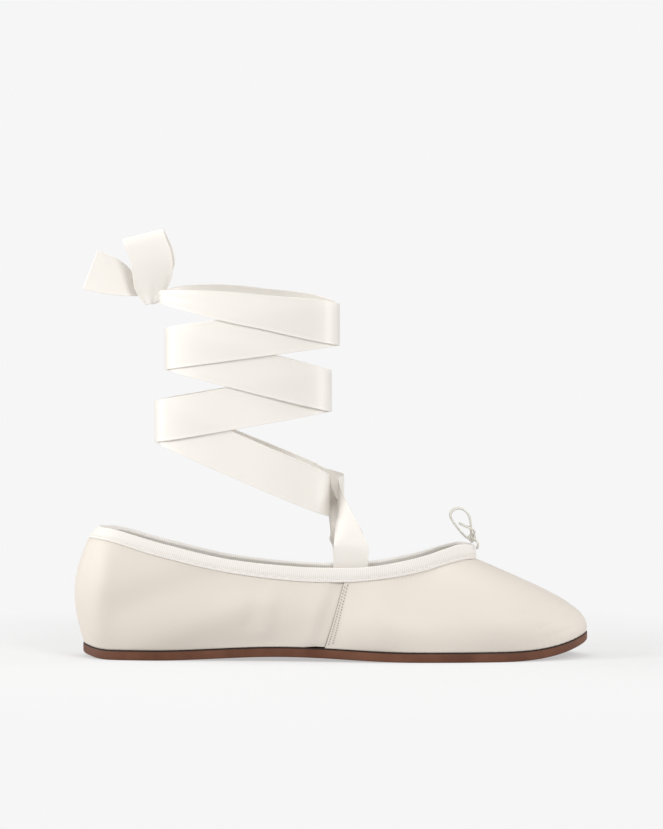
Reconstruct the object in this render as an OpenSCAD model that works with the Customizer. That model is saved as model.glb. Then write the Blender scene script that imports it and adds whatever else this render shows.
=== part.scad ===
// Satin ballet slipper with grosgrain binding, drawstring and ankle ribbons.
// A right shoe.  Millimetres, +X to the toe, +Z up, the lateral side is -Y.
// The origin is on the ground below the middle of the shoe's length.

/* [Sole] */
// Thickness of the leather outsole
sole_t = 4.8; // [4:0.1:5.6]
// Height that the sole's tip springs off the ground
toe_spring = 7.9; // [5:0.1:10]
// Height that the waist of the sole arches off the ground
arch_lift = 2.0; // [1:0.1:3]
// Distance that the outsole stands out past the upper's lasting line
sole_edge = 0.4; // [0:0.1:0.8]
// Thickness of the insole board
board_t = 1.5; // [1:0.1:2]
// Thickness of the sock lining
sock_t = 0.8; // [0.6:0.1:1.2]
// Thickness of the foam pad below the heel
heel_pad_t = 1.6; // [1:0.1:2.4]

/* [Upper] */
// Thickness of the satin, with its cotton backing
satin_t = 0.7; // [0.5:0.1:0.9]
// Thickness of the heel counter and of the toe puff
stiffener_t = 0.7; // [0.5:0.1:0.9]
// Thickness of the lining
lining_t = 0.6; // [0.4:0.1:0.8]
// Gap between one layer and the next
layer_gap = 0.05; // [0.04:0.01:0.1]
// Width of the lasting margin turned in below the insole
margin_w = 7; // [5:0.5:9]

/* [Binding and drawstring] */
// Height of the folded binding on each face of the topline
bind_h = 7; // [6:0.5:8]
// Thickness of the grosgrain tape
bind_t = 0.5; // [0.4:0.05:0.6]
// Diameter of the drawstring
cord_d = 1.0; // [0.8:0.1:1.2]
// Diameter of the sewing thread
thread_d = 0.35; // [0.25:0.05:0.45]

/* [Ribbons] */
// Width of each ankle ribbon
ribbon_w = 20; // [16:1:22]
// Thickness of the ribbon
ribbon_t = 0.3; // [0.25:0.05:0.35]
// Distance between two ribbon layers where they cross
layer_pitch = 1.0; // [0.9:0.05:1.1]
// Half the width of the wound cuff, across the ankle
cuff_half_w = 25; // [22:1:28]
// Radius of the ribbon knot
knot_r = 4.8; // [4:0.1:5.2]

/* [Hidden] */

satin = [0.91, 0.88, 0.83];
tape = [0.94, 0.93, 0.90];
ribbon_white = [0.97, 0.95, 0.92];
lining_grey = [0.80, 0.78, 0.75];
leather = [0.45, 0.27, 0.18];
board_tan = [0.72, 0.60, 0.45];

// ---- the shoe's lines --------------------------------------------------------
// One row per station, from the toe (0) along one side to the heel (13):
// lasting line x and half width; binding's lower edge x, half width and height;
// binding's upper edge x, half width and height; low and high swell of the wall.
STATIONS = [
    [122.2,  0.0,   68.8,  0.0, 46.6,   68.0,  0.0, 53.6,  2.5, 33.0],
    [118.6, 13.5,   67.0,  7.6, 46.8,   66.0,  7.0, 53.9,  2.5, 31.0],
    [109.0, 24.8,   62.4, 14.4, 46.6,   60.8, 13.4, 54.2,  3.0, 26.0],
    [ 93.5, 32.8,   55.0, 20.4, 45.2,   53.4, 18.9, 52.3,  3.5, 18.5],
    [ 73.0, 37.6,   44.4, 25.4, 42.2,   43.2, 23.6, 49.2,  4.0, 12.0],
    [ 48.5, 39.0,   31.4, 28.8, 39.6,   30.6, 26.9, 46.4,  4.5,  7.5],
    [ 22.5, 37.2,   18.6, 30.4, 38.0,   18.6, 28.6, 44.7,  5.0,  5.5],
    [ -3.2, 33.0,    5.8, 30.8, 37.2,    6.4, 29.0, 44.1,  5.0,  4.5],
    [-30.0, 28.8,  -18.0, 29.8, 37.8,  -17.2, 28.0, 44.7,  5.0,  4.0],
    [-60.0, 26.6,  -50.0, 27.0, 41.7,  -49.0, 25.2, 48.0,  5.0,  4.0],
    [-88.0, 26.0,  -82.0, 23.8, 49.0,  -79.6, 21.6, 55.0,  5.0,  6.0],
    [-107.5, 21.0, -104.2, 18.8, 55.6, -100.6, 16.4, 61.0,  5.5,  8.5],
    [-115.8, 10.6, -113.2,  9.2, 56.8, -108.8,  7.8, 62.2,  5.5,  9.5],
    [-118.4, 0.0,  -115.8,  0.0, 56.8, -110.8,  0.0, 62.4,  5.5, 10.0]];
LAST = len(STATIONS) - 1;
SEAM = 7;                  // station of the side seam
COLUMN_STEP = 0.25;        // stations per column of the surface
COLUMNS = 2 * LAST / COLUMN_STEP;
FLANGE_ROWS = 2;
WALL_ROWS = 8;
COLLAR_ROWS = 2;
ROWS = FLANGE_ROWS + WALL_ROWS + COLLAR_ROWS;
FOLD = 1.9 / 7;            // share of the binding that stands above the satin's edge

heel_flat = [-104, -84];
ball_flat = [40, 78];
HEEL_BACK = -118.5;
TOE_TIP = 123;

function sole_low(x) =
    x < heel_flat[0] ? 2.2 * pow((heel_flat[0] - x) / (heel_flat[0] - HEEL_BACK), 2) :
    x < heel_flat[1] ? 0 :
    x < ball_flat[0] ?
        arch_lift * (1 - cos(360 * (x - heel_flat[1]) / (ball_flat[0] - heel_flat[1]))) / 2 :
    x < ball_flat[1] ? 0 :
    toe_spring * pow((x - ball_flat[1]) / (TOE_TIP - ball_flat[1]), 2.6);
function sole_high(x) = sole_low(x) + sole_t - 0.3 * max(0, (x - 90) / 33);

function flip(row) = [row[0], -row[1], row[2], -row[3], row[4], row[5], -row[6], row[7],
    row[8], row[9]];
function station(i) = i < 0 ? flip(STATIONS[-i]) :
    i > LAST ? flip(STATIONS[2 * LAST - i]) : STATIONS[i];
function catmull(a, b, c, d, t) =
    (2 * b + (c - a) * t + (2 * a - 5 * b + 4 * c - d) * t * t +
     (3 * b - a - 3 * c + d) * t * t * t) / 2;
function between(s) = let (i = min(floor(s), LAST - 1))
    catmull(station(i - 1), station(i), station(i + 1), station(i + 2), s - i);

// The shoe's long axis bends towards the big toe, and the waist is cut in there.
function bend(x) = x > 0 ? 3.5 * pow(x / 122, 2) : 0;
function side_of(u) = u <= LAST ? -1 : 1;
function row_of(u) = u <= LAST ? between(u) : between(2 * LAST - u);
function waist(u, x) = side_of(u) > 0 ? 1 - 0.10 * exp(-pow((x + 15) / 42, 2)) : 1;
function around(u) = (u + 4 * LAST) % (2 * LAST);

function lasting_xy(u) = let (r = row_of(around(u)))
    [r[0], side_of(around(u)) * r[1] * waist(around(u), r[0]) + bend(r[0])];
function outward(u) = let (d = lasting_xy(u + 0.05) - lasting_xy(u - 0.05))
    [-d[1], d[0]] / norm(d);
function lasting(u) = let (p = lasting_xy(u)) [p[0], p[1], sole_high(p[0]) + 0.05];
function medial_drop(u, x) = side_of(around(u)) > 0 ? 1.2 * exp(-pow((x + 5) / 50, 2)) : 0;
function low_edge(u) = let (r = row_of(around(u)))
    [r[2], side_of(around(u)) * r[3] + bend(r[2]), r[4] - medial_drop(u, r[2])];
function high_edge(u) = let (r = row_of(around(u)))
    [r[5], side_of(around(u)) * r[6] + bend(r[5]), r[7] - medial_drop(u, r[5])];

function bezier(a, b, c, d, t) = a * pow(1 - t, 3) + b * 3 * t * pow(1 - t, 2) +
    c * 3 * t * t * (1 - t) + d * pow(t, 3);
function wall(u, t) = let (r = row_of(around(u)), n = outward(u), f = lasting(u),
        b = low_edge(u), h = b[2] - f[2], n3 = [n[0], n[1], 0])
    bezier(f, f + n3 * r[8] + [0, 0, 0.32 * h], b + n3 * r[9] - [0, 0, 0.4 * h], b, t);
function flange(u, k) = let (p = lasting_xy(u) - outward(u) * margin_w * (1 - k))
    [p[0], p[1], sole_high(p[0]) + 0.05];
function skin(u, j) =
    j < FLANGE_ROWS ? flange(u, j / FLANGE_ROWS) :
    j <= FLANGE_ROWS + WALL_ROWS ? wall(u, (j - FLANGE_ROWS) / WALL_ROWS) :
    let (k = (j - FLANGE_ROWS - WALL_ROWS) / COLLAR_ROWS)
        low_edge(u) + (high_edge(u) - low_edge(u)) * (1 - FOLD) * k;

SKIN = [for (i = [0:COLUMNS - 1]) [for (j = [0:ROWS]) skin(i * COLUMN_STEP, j)]];
function column(i) = (i + 2 * COLUMNS) % COLUMNS;
function skin_at(i, j) = SKIN[column(i)][min(max(j, 0), ROWS)];
function unit(v) = v / norm(v);
NORMALS = [for (i = [0:COLUMNS - 1]) [for (j = [0:ROWS])
    unit(cross(skin_at(i, j + 1) - skin_at(i, j - 1), skin_at(i + 1, j) - skin_at(i - 1, j)))]];
function inside(i, j, depth) = SKIN[column(i)][j] - NORMALS[column(i)][j] * depth;

// ---- solids made from grids --------------------------------------------------
// A closed sheet between two equal grids of points, each a list of columns.
module sheet_solid(outer, inner, ring = false) {
    n = len(outer);
    m = len(outer[0]);
    function a(i, j) = (i % n) * m + j;
    function b(i, j) = n * m + a(i, j);
    last = ring ? n - 1 : n - 2;
    faces = concat(
        [for (i = [0:last]) for (j = [0:m - 2]) each [
            [a(i, j), a(i + 1, j), a(i + 1, j + 1)], [a(i, j), a(i + 1, j + 1), a(i, j + 1)],
            [b(i, j), b(i + 1, j + 1), b(i + 1, j)], [b(i, j), b(i, j + 1), b(i + 1, j + 1)]]],
        [for (i = [0:last]) each [
            [a(i + 1, 0), a(i, 0), b(i, 0)], [a(i + 1, 0), b(i, 0), b(i + 1, 0)],
            [a(i, m - 1), a(i + 1, m - 1), b(i + 1, m - 1)],
            [a(i, m - 1), b(i + 1, m - 1), b(i, m - 1)]]],
        ring ? [] : [for (j = [0:m - 2]) each [
            [a(0, j), a(0, j + 1), b(0, j + 1)], [a(0, j), b(0, j + 1), b(0, j)],
            [a(n - 1, j + 1), a(n - 1, j), b(n - 1, j)],
            [a(n - 1, j + 1), b(n - 1, j), b(n - 1, j + 1)]]]);
    polyhedron(concat([for (c = outer) each c], [for (c = inner) each c]), faces);
}

// A layer of the upper.  depth(i) is found from a start depth and the seam's dip.
module layer(i0, i1, j0, j1, depth, thick, dips = []) {
    function dip(i) = len(dips) == 0 ? 0 :
        max([for (d = dips) d[1] * max(0, 1 - abs(i - d[0]) / d[2])]);
    function deep(i) = depth + min(dip(i), satin_t + layer_gap);
    sheet_solid(
        [for (i = [i0:i1]) [for (j = [j0:j1]) inside(i, j, deep(i))]],
        [for (i = [i0:i1]) [for (j = [j0:j1]) inside(i, j, deep(i) + thick)]]);
}

// A tube along a list of points, each ring turned to the path.
module tube(path, d, sides = 8, ring = false) {
    n = len(path);
    function at(i) = ring ? path[(i + n) % n] : path[min(max(i, 0), n - 1)];
    function tangent(i) = unit(at(i + 1) - at(i - 1));
    function up(i) = let (t = tangent(i), s = abs(t[2]) > 0.95 ? [1, 0, 0] : [0, 0, 1])
        unit(s - t * (t * s));
    frames = [for (i = 0, u = up(0); i < n;
        i = i + 1, u = i < n ? unit(u - tangent(i) * (tangent(i) * u)) : u) u];
    rings = [for (i = [0:n - 1]) let (t = tangent(i), u = ring ? up(i) : frames[i], w = cross(t, u))
        [for (k = [0:sides - 1]) path[i] + (u * cos(360 * k / sides) + w * sin(360 * k / sides)) * d / 2]];
    function q(i, k) = (i % n) * sides + (k % sides);
    faces = concat(
        [for (i = [0:(ring ? n - 1 : n - 2)]) for (k = [0:sides - 1]) each [
            [q(i, k), q(i + 1, k), q(i + 1, k + 1)], [q(i, k), q(i + 1, k + 1), q(i, k + 1)]]],
        ring ? [] : [[for (k = [0:sides - 1]) q(0, k)],
            [for (k = [sides - 1:-1:0]) q(n - 1, k)]]);
    polyhedron([for (r = rings) each r], faces);
}

// A ribbon through stations of [centre, half-width vector], with flat thickness.
module strip(stations, thick) {
    n = len(stations);
    function c(i) = stations[min(max(i, 0), n - 1)][0];
    function face_normal(i) = unit(cross(c(i + 1) - c(i - 1), stations[i][1]));
    function corner(i, side, top) = stations[i][0] + stations[i][1] * side +
        face_normal(i) * thick / 2 * top;
    sheet_solid(
        [for (i = [0:n - 1]) [corner(i, -1, -1), corner(i, 1, -1)]],
        [for (i = [0:n - 1]) [corner(i, -1, 1), corner(i, 1, 1)]]);
}
function smooth(list, steps) = let (n = len(list))
    [for (i = [0:n - 2]) for (k = [0:steps - 1]) let (a = list[max(i - 1, 0)], b = list[i],
        c = list[i + 1], d = list[min(i + 2, n - 1)]) catmull(a, b, c, d, k / steps),
     list[n - 1]];

// ---- the sole ----------------------------------------------------------------
function outline(grow) = [for (i = [0:COLUMNS - 1])
    lasting_xy(i * COLUMN_STEP) + outward(i * COLUMN_STEP) * grow];
profile_x = concat([for (x = [-124:2.5:heel_flat[0] - 1]) x], [heel_flat[0]],
    [for (x = [heel_flat[1]:4:ball_flat[0]]) x], [for (x = [ball_flat[1]:2.5:128]) x]);
// The part of a plan outline between two heights, each a function of x.
module sole_slice(grow, low, high, xs = profile_x) {
    intersection() {
        linear_extrude(40) polygon(outline(grow));
        rotate([90, 0, 0]) linear_extrude(120, center = true) polygon(concat(
            [for (x = xs) [x, low(x)]],
            [for (k = [len(xs) - 1:-1:0]) [xs[k], high(xs[k])]]));
    }
}
stack_t = satin_t + stiffener_t + lining_t + 3 * layer_gap;
board_low = stack_t + 0.1;
sock_low = board_low + board_t + 0.05;
pad_front = -45;
function pad_rise(x) = heel_pad_t * min(1, max(0, (pad_front - x) / 12));

module outsole() {
    color(leather) sole_slice(sole_edge, function (x) sole_low(x), function (x) sole_high(x));
}
module bottom_filler() {
    color(board_tan) sole_slice(-margin_w - 0.6, function (x) sole_high(x) + 0.05,
        function (x) sole_high(x) + stack_t);
}
module insole_board() {
    color(board_tan) sole_slice(-4.2, function (x) sole_high(x) + board_low,
        function (x) sole_high(x) + board_low + board_t);
}
module heel_cushion() {
    color("ivory") sole_slice(-5.4, function (x) sole_high(x) + sock_low,
        function (x) sole_high(x) + sock_low + pad_rise(x) - 0.05,
        [for (x = profile_x) if (x < pad_front - 2) x]);
}
module sock_lining() {
    color(lining_grey) sole_slice(-3.7, function (x) sole_high(x) + sock_low + pad_rise(x),
        function (x) sole_high(x) + sock_low + pad_rise(x) + sock_t);
}

// ---- the upper ---------------------------------------------------------------
seam_col = SEAM / COLUMN_STEP;
vamp_cols = [-seam_col, seam_col];
quarter_cols = [seam_col, COLUMNS - seam_col];
tongue = 1;                // columns that the quarter runs on below the vamp
mid_depth = satin_t + layer_gap;
lining_depth = mid_depth + stiffener_t + layer_gap;

module vamp() {
    color(satin) layer(vamp_cols[0], vamp_cols[1], 0, ROWS, 0, satin_t);
}
module quarter() {
    dips = [[quarter_cols[0] - tongue, 3 * mid_depth, 2.5],
        [quarter_cols[1] + tongue, 3 * mid_depth, 2.5]];
    color(satin) layer(quarter_cols[0] - tongue, quarter_cols[1] + tongue, 0, ROWS, 0, satin_t,
        dips);
}
module vamp_lining() {
    color(lining_grey) layer(vamp_cols[0], vamp_cols[1], 0, ROWS, lining_depth, lining_t);
}
module quarter_lining() {
    color(lining_grey) layer(quarter_cols[0], quarter_cols[1], 0, ROWS, lining_depth, lining_t);
}
module heel_counter() {
    color(board_tan) layer(COLUMNS / 2 - 12, COLUMNS / 2 + 12, 0, 8, mid_depth, stiffener_t);
}
module toe_puff() {
    color(board_tan) layer(-9, 9, 0, 6, mid_depth, stiffener_t);
}

// ---- binding and its cord ----------------------------------------------------
function band_normal(i) = NORMALS[column(i)][ROWS - 1];
// A point o mm outside the satin's face, s mm down from the binding's upper edge.
function band(i, o, s) = let (u = column(i) * COLUMN_STEP, t = high_edge(u), b = low_edge(u))
    t + (b - t) * (s / 7) + band_normal(i) * o;
back_face = -(lining_depth + lining_t);
function fold_outer(i) = [band(i, layer_gap + bind_t, bind_h), band(i, layer_gap + bind_t, 0.9),
    band(i, layer_gap + bind_t - 0.35, 0.25), band(i, back_face / 2, 0),
    band(i, back_face - layer_gap - bind_t + 0.35, 0.25),
    band(i, back_face - layer_gap - bind_t, 0.9), band(i, back_face - layer_gap - bind_t, bind_h)];
function fold_inner(i) = [band(i, layer_gap, bind_h), band(i, layer_gap, 1.1),
    band(i, layer_gap - 0.25, 0.65), band(i, back_face / 2, 0.5),
    band(i, back_face - layer_gap + 0.25, 0.65), band(i, back_face - layer_gap, 1.1),
    band(i, back_face - layer_gap, bind_h)];
module topline_binding() {
    color(tape) sheet_solid([for (i = [0:COLUMNS - 1]) fold_outer(i)],
        [for (i = [0:COLUMNS - 1]) fold_inner(i)], ring = true);
}
module drawstring() {
    color(tape) {
        tube([for (i = [0:COLUMNS - 1]) band(i, back_face / 2, 1.2)], cord_d, ring = true);
        for (side = [-1, 1])
            tube([[69.6, 1.3 * side, 51.2], [70.0, 1.4 * side, 52.4], [70.1, 1.3 * side, 53.8],
                [69.4, 0.9 * side, 54.9]], cord_d);
    }
}

// A stitch from p to q that lies on the surface.
module stitch(p, q) {
    d = q - p;
    translate(p) rotate([0, acos(d[2] / norm(d)), atan2(d[1], d[0])])
        cylinder(h = norm(d), d = thread_d, $fn = 6);
}
module binding_stitching() {
    lift = layer_gap + bind_t + thread_d / 2 + 0.04;
    down = bind_h - 1.6;
    color(tape) for (i = [0:COLUMNS - 1]) for (k = [0, 0.5]) {
        a = band(i, lift, down);
        d = band(i + 1, lift, down) - a;
        stitch(a + d * (k + 0.06), a + d * (k + 0.36));
    }
}
// Two rows of stitches on the vamp in front of the seam's edge.
module seam_stitching(side) {
    lift = thread_d / 2 + 0.06;
    pitch = 1 / 14;
    u = side < 0 ? SEAM : 2 * LAST - SEAM;
    function on_skin(du, t) = let (v = u + side * du, h = 0.02, p = wall(v, t),
            n = unit(cross(wall(v, min(t + h, 1)) - wall(v, t - h), wall(v + h, t) - wall(v - h, t))))
        p + n * lift;
    color(satin) for (row = [0.05, 0.12]) for (t = [0.1:pitch:0.93])
        stitch(on_skin(row, t), on_skin(row, t + pitch * 0.5));
}
module lateral_seam_stitching() {
    seam_stitching(-1);
}
module medial_seam_stitching() {
    seam_stitching(1);
}

// ---- drawstring bow ----------------------------------------------------------
bow_knot = [67.2, 0, 56.2];
loop_route = [[64.8, -1.9, 56.7], [63.4, -2.4, 57.8], [60.9, -3.4, 60.6], [58.2, -4.2, 64.2],
    [56.9, -4.5, 67.2], [57.8, -4.5, 69.6], [60.6, -4.3, 70.8], [63.6, -3.9, 69.8],
    [65.8, -3.4, 67.0], [66.6, -2.9, 63.6], [66.6, -2.3, 60.6], [66.9, -1.4, 58.6]];
end_route = [[68.0, -1.3, 58.3], [68.4, -2.6, 59.4], [67.6, -3.8, 60.6], [65.6, -4.0, 61.6],
    [63.2, -3.4, 62.5], [61.2, -2.8, 63.6]];
function mirrored(route) = [for (p = route) [p[0], -p[1], p[2]]];
module drawstring_knot() {
    color(tape) translate(bow_knot) rotate([90, 0, 0]) rotate_extrude($fn = 32)
        polygon(concat([[0, -1.9]], [for (a = [-75:15:75]) [0.4 + 1.5 * cos(a), 1.9 * sin(a)]],
            [[0, 1.9]]));
}
module drawstring_loops() {
    color(tape) {
        tube(smooth(loop_route, 3), cord_d);
        tube(smooth(mirrored(loop_route), 3), cord_d);
    }
}
module drawstring_ends() {
    color(tape) {
        tube(smooth(end_route, 3), cord_d);
        tube(smooth(mirrored(end_route), 3), cord_d);
    }
}

// ---- ankle ribbons -----------------------------------------------------------
// Half turns of the wound cuff.  At each crossing: x of the fold and height.
CROSSING = [[1.3, 77.0], [-84, 112.5], [-0.5, 127], [-79, 147], [3.3, 158.5], [-80.5, 172]];
// Layer of each half turn, from the shoe up, one entry more than half turns:
// the first is that of the front crossing they start from.
LATERAL_LAYERS = [5, 4, 2, 2, 4, 0];
MEDIAL_LAYERS = [0, 1, 3, 3, 1, 5];
LAST_TURN = 4;
MEDIAL_RAISE = 4;          // the medial ribbon runs higher than the lateral on the last half turn
SECTION_POWER = 0.74;      // shape of the cuff in plan: 1 is an ellipse
TURN_STEPS = 20;
MIDDLE_LAYER = 2.5;        // the layer that lies on the cuff's stated size
SETTLE = 0.36;             // share of a half turn over which a ribbon changes layer
TAPER = 0.68;              // share of its width that the last half turn loses
TAPER_FROM = 0.22;         // where on the last half turn it starts to narrow
TAPER_RUN = 0.72;
LAST_END = 0.93;           // where the last half turn goes into the knot
STEP_AFTER_RISE = 0.02;    // shortest step from the rise to the first half turn
knot_at = [-85.5, 0, 172.8];

function signed_power(v) = sign(v) * pow(abs(v), SECTION_POWER);
function ease(t) = t <= 0 ? 0 : t >= 1 ? 1 : t * t * (3 - 2 * t);
function layer_at(layers, h, f) = let (own = layers[h + 1],
        before = (layers[h] + own) / 2, after = h + 2 < len(layers) ? (own + layers[h + 2]) / 2 : own)
    f < SETTLE ? before + (own - before) * ease(f / SETTLE) :
    f > 1 - SETTLE ? after + (own - after) * ease((1 - f) / SETTLE) : own;
// Centre of the ribbon at share f of half turn h; side is -1 lateral, 1 medial.
function wound(layers, h, f, side) = let (a = CROSSING[h], b = CROSSING[h + 1],
        grow = (layer_at(layers, h, f) - MIDDLE_LAYER) * layer_pitch,
        run = signed_power(cos(180 * f)), half = (a[0] - b[0]) / 2,
        x = (a[0] + b[0]) / 2 + (half + sign(half) * grow) * run,
        y = side * (cuff_half_w + grow) * pow(sin(180 * f), SECTION_POWER),
        z = a[1] + (b[1] - a[1]) * (1 - run) / 2,
        high = h == LAST_TURN ? MEDIAL_RAISE * max(0, side) * sin(180 * f) : 0)
    [x, y, z + high];
function half_width(h, f) = ribbon_w / 2 *
    (h == LAST_TURN ? 1 - TAPER * ease((f - TAPER_FROM) / TAPER_RUN) : 1);
function ribbon_station(layers, h, f, first) = let (side = h % 2 == 0 ? first : -first,
        e = 0.004, g0 = max(f - e, 0.0005), g1 = min(f + e, 0.9995),
        t = unit(wound(layers, h, g1, side) - wound(layers, h, g0, side)),
        n = unit([t[1], -t[0], 0]), w = unit(cross(n, t)))
    [wound(layers, h, f, side), w * sign(w[2]) * half_width(h, f)];
// From the tack inside the shoe's wall up to the wound cuff, as [centre, half-width vector].
// Over the instep the lateral ribbon lies on top of the medial one.
LATERAL_RISE = [[[9.0, -24.4, 43.0], [8.3, 0.2, 0]], [[9.0, -24.6, 48.0], [8.3, 0.2, 0]],
    [[9.2, -24.6, 53.0], [8.2, 0.4, 0.6]], [[7.4, -23.2, 58.4], [6.3, 1.4, 3.4]],
    [[5.3, -19.0, 64.0], [4.0, 2.2, 6.4]], [[3.6, -12.6, 69.6], [1.9, 1.8, 8.8]],
    [[3.0, -6.4, 74.0], [0.6, 0.8, 9.6]], [[3.3, 0, 76.4], [0, 0, 9.4]],
    [[5.0, 6.0, 77.7], [0, 0, 8.4]], [[6.0, 12.0, 78.8], [0, 0, 7.6]],
    [[3.9, 17.8, 79.4], [0, 0, 8.0]], [[-3.4, 22.8, 80.2], [0, 0, 9.2]]];
MEDIAL_RISE = [[[9.0, 24.4, 43.0], [8.3, -0.2, 0]], [[9.0, 24.6, 48.0], [8.3, -0.2, 0]],
    [[8.6, 23.9, 52.0], [8.0, -0.8, 1.4]], [[6.8, 21.6, 56.8], [6.9, -1.6, 4.0]],
    [[3.8, 18.0, 61.4], [4.8, -1.6, 6.4]], [[1.2, 13.2, 66.0], [1.6, -1.0, 8.2]],
    [[-0.2, 8.4, 70.8], [0.4, -0.3, 9.6]], [[-0.9, 4.0, 75.0], [0.1, 0, 10]]];
// meet is the share of the first half turn at which the rise runs into it.
module wound_ribbon(rise, meet, first, layers) {
    start = smooth(concat(rise, [ribbon_station(layers, 0, meet, first)]), 3);
    turns = [for (h = [0:LAST_TURN]) for (k = [0:TURN_STEPS - 1])
        let (f = (k + 0.5) / TURN_STEPS)
            if ((h > 0 || f > meet + STEP_AFTER_RISE) && (h < LAST_TURN || f < LAST_END))
                ribbon_station(layers, h, f, first)];
    color(ribbon_white) strip(concat(start, turns), ribbon_t);
}
module lateral_ribbon() {
    wound_ribbon(LATERAL_RISE, 0.3, 1, LATERAL_LAYERS);
}
module medial_ribbon() {
    wound_ribbon(MEDIAL_RISE, 0.04, -1, MEDIAL_LAYERS);
}
// The end of a ribbon sewn flat against the lining.
tab_z = [32, 43.6];
tab_y = 25.15;
tab_half_w = 8.3;          // gathered a little from the ribbon's own width
module ribbon_tab(side) {
    color(ribbon_white) strip([for (z = [tab_z[0]:2.9:tab_z[1] + 0.1])
        [[9.0, side * tab_y, z], [tab_half_w, 0, 0]]], ribbon_t);
}
module lateral_ribbon_tab() {
    ribbon_tab(-1);
}
module medial_ribbon_tab() {
    ribbon_tab(1);
}
module ribbon_tack_stitching() {
    color(ribbon_white) for (side = [-1, 1]) {
        y = side * (tab_y - ribbon_t / 2 - thread_d / 2 - 0.04);
        for (k = [0:5]) {
            x = 2.4 + k * 2.4;
            for (z = [33.2, 39.6])
                stitch([x, y, z], [x + 1.2, y, z]);
        }
        for (k = [0:2])
            for (x = [1.9, 16.1])
                stitch([x, y, 33.8 + k * 2.1], [x, y, 35.0 + k * 2.1]);
    }
}

// ---- ribbon bow --------------------------------------------------------------
// The tails leave the knot's middle, and a loop lies on each side of them.
LOOP = [[[-85.4, -5.6, 168.6], [3.4, 0, 0.8]], [[-85.2, -6.0, 172.8], [6.2, 0, 1.5]],
    [[-85.0, -7.4, 178.2], [8.8, 0, 2.1]], [[-85.0, -8.8, 184.4], [9.6, 0, 2.3]],
    [[-86.0, -9.8, 191], [9.7, 0, 2.4]], [[-88.6, -9.8, 198.2], [9.7, 0, 2.4]],
    [[-89.8, -8.0, 201.6], [9.7, 0, 2.4]], [[-88.6, -6.4, 199.6], [9.7, 0, 2.4]],
    [[-85.4, -5.8, 192.6], [9.7, 0, 2.4]], [[-83.9, -5.6, 185.4], [9.4, 0, 2.3]],
    [[-84.2, -5.4, 179.6], [7.0, 0, 1.7]]];
LOOP_BEHIND = [[[-85.4, 5.4, 174.4], [3.2, 0, 0.8]], [[-84.8, 5.6, 180.4], [5.6, 0, 1.3]],
    [[-85.0, 6.0, 187], [8.2, 0, 2.0]], [[-86.8, 6.2, 193.6], [8.8, 0, 2.2]],
    [[-88.2, 7.2, 197.8], [8.8, 0, 2.2]], [[-88.0, 9.2, 196.8], [8.8, 0, 2.2]],
    [[-86.4, 10.0, 190.4], [8.4, 0, 2.0]], [[-85.4, 8.6, 183.6], [6.4, 0, 1.5]],
    [[-85.4, 7.0, 177.6], [4.2, 0, 1.0]]];
TAIL = [[[-91.8, -1.4, 176.6], [-1.0, 0, 4.4]], [[-96, -2.2, 179.4], [-1.6, 0.2, 7.2]],
    [[-101.5, -3.0, 181.2], [-0.8, 0.3, 8.8]], [[-108.5, -3.4, 182.9], [1.2, 0.2, 9.4]],
    [[-115.2, -3.2, 184.8], [3.6, 0, 9.2]]];
TAIL_BEHIND = [[[-91.7, 1.4, 176.2], [-0.9, 0, 4.0]], [[-95.8, 2.2, 178.8], [-1.5, -0.2, 6.6]],
    [[-101.0, 3.0, 180.6], [-0.8, -0.3, 8.1]], [[-107.8, 3.4, 182.6], [1.1, -0.2, 8.6]],
    [[-114.2, 3.2, 184.4], [3.3, 0, 8.5]]];
module ribbon_knot() {
    color(ribbon_white) translate(knot_at) rotate([90, 0, 0]) rotate_extrude($fn = 48)
        polygon(concat([[0, -4.6]], [for (a = [-78:12:78])
            [knot_r - 2 + 2 * cos(a), 4.6 * sin(a)]], [[0, 4.6]]));
}
module ribbon_loops() {
    color(ribbon_white) {
        strip(smooth(LOOP, 4), ribbon_t);
        strip(smooth(LOOP_BEHIND, 4), ribbon_t);
    }
}
module ribbon_tails() {
    color(ribbon_white) {
        strip(smooth(TAIL, 4), ribbon_t);
        strip(smooth(TAIL_BEHIND, 4), ribbon_t);
    }
}

outsole();
bottom_filler();
insole_board();
heel_cushion();
sock_lining();
vamp();
quarter();
vamp_lining();
quarter_lining();
heel_counter();
toe_puff();
topline_binding();
binding_stitching();
lateral_seam_stitching();
medial_seam_stitching();
drawstring();
drawstring_knot();
drawstring_loops();
drawstring_ends();
lateral_ribbon_tab();
medial_ribbon_tab();
ribbon_tack_stitching();
lateral_ribbon();
medial_ribbon();
ribbon_knot();
ribbon_loops();
ribbon_tails();
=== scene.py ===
"""The looks of a satin ballet slipper with a ribbed binding and wound ankle ribbons.

Lengths are millimetres in the frame's axes until a mesh is made, where MM turns them
into metres. The shoe is a surface over (u, row): u runs from the toe (0) round the
lateral side to the heel (13) and back along the medial side to the toe (26).
"""
import math

import bmesh
import bpy
import numpy as np
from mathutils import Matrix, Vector


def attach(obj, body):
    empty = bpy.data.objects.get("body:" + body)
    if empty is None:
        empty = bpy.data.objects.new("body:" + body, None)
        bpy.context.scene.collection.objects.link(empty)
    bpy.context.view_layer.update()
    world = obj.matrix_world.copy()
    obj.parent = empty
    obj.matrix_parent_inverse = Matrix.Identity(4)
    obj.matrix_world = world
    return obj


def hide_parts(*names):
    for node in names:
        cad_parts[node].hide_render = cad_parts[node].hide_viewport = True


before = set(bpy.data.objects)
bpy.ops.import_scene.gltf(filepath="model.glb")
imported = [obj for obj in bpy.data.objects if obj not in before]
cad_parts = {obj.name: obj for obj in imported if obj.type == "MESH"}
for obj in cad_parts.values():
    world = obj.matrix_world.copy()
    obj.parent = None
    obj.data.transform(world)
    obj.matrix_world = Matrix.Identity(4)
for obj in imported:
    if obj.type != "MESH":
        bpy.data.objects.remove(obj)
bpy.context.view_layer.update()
MM = 0.001

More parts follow.
